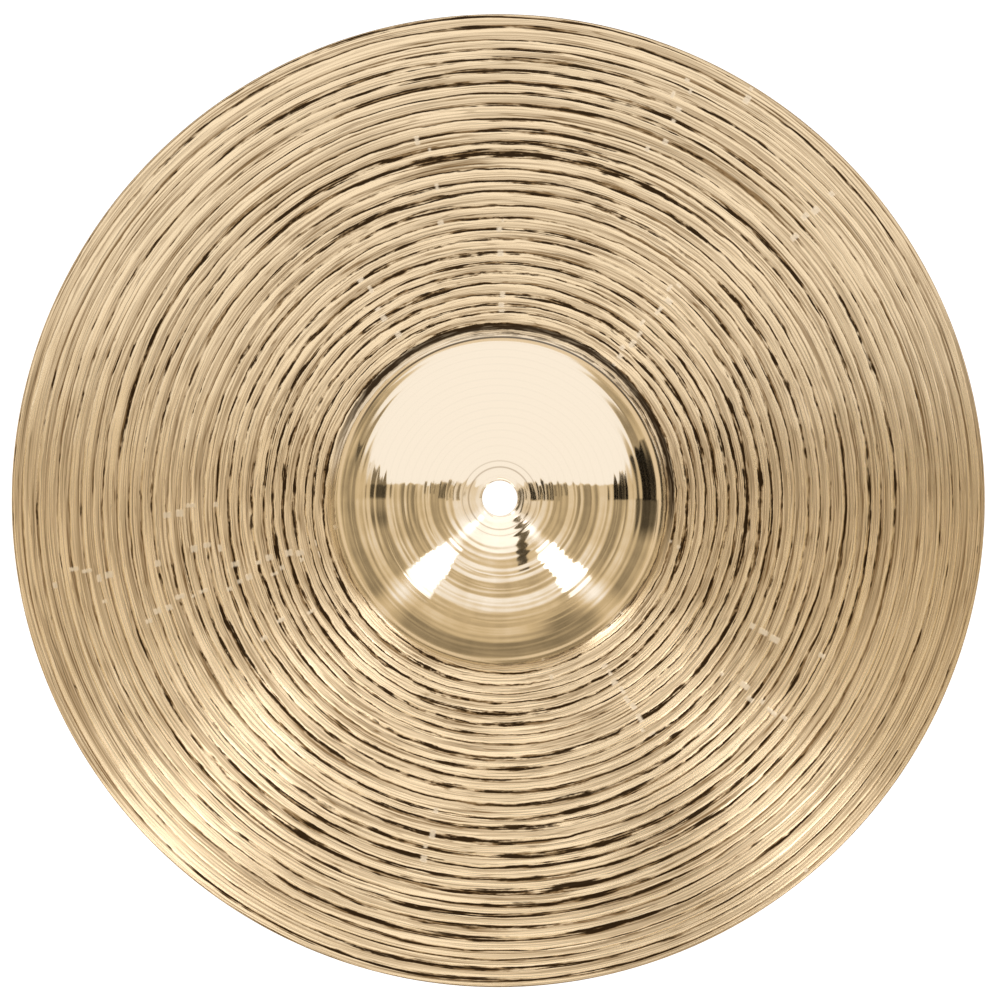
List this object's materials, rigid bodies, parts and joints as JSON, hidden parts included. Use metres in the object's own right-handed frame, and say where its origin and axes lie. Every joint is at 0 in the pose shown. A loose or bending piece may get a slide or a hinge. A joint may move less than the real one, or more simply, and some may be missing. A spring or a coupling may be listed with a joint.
{
  "type": "crash cymbal",
  "caption": "Crash cymbal: a thin, shallow-bowed bronze disc with a raised bell, a round stand hole and a hand-turned, hammered face.",
  "frame": {"origin": "centre of the circle that the rim rests on, on the disc's own axis", "axes": "+Z along the disc's axis and the stand hole, out of the top of the bell; X and Y lie in the rim's plane, and the disc is round, so their turn about Z is free"},
  "size_m": [0.3556, 0.3556, 0.0412],
  "materials": {
    "bronze": "lathed and polished bell bronze, bright tonal bands round the axis"
  },
  "bodies": {
    "root": {"cymbal": "bronze"}
  },
  "joints": []
}
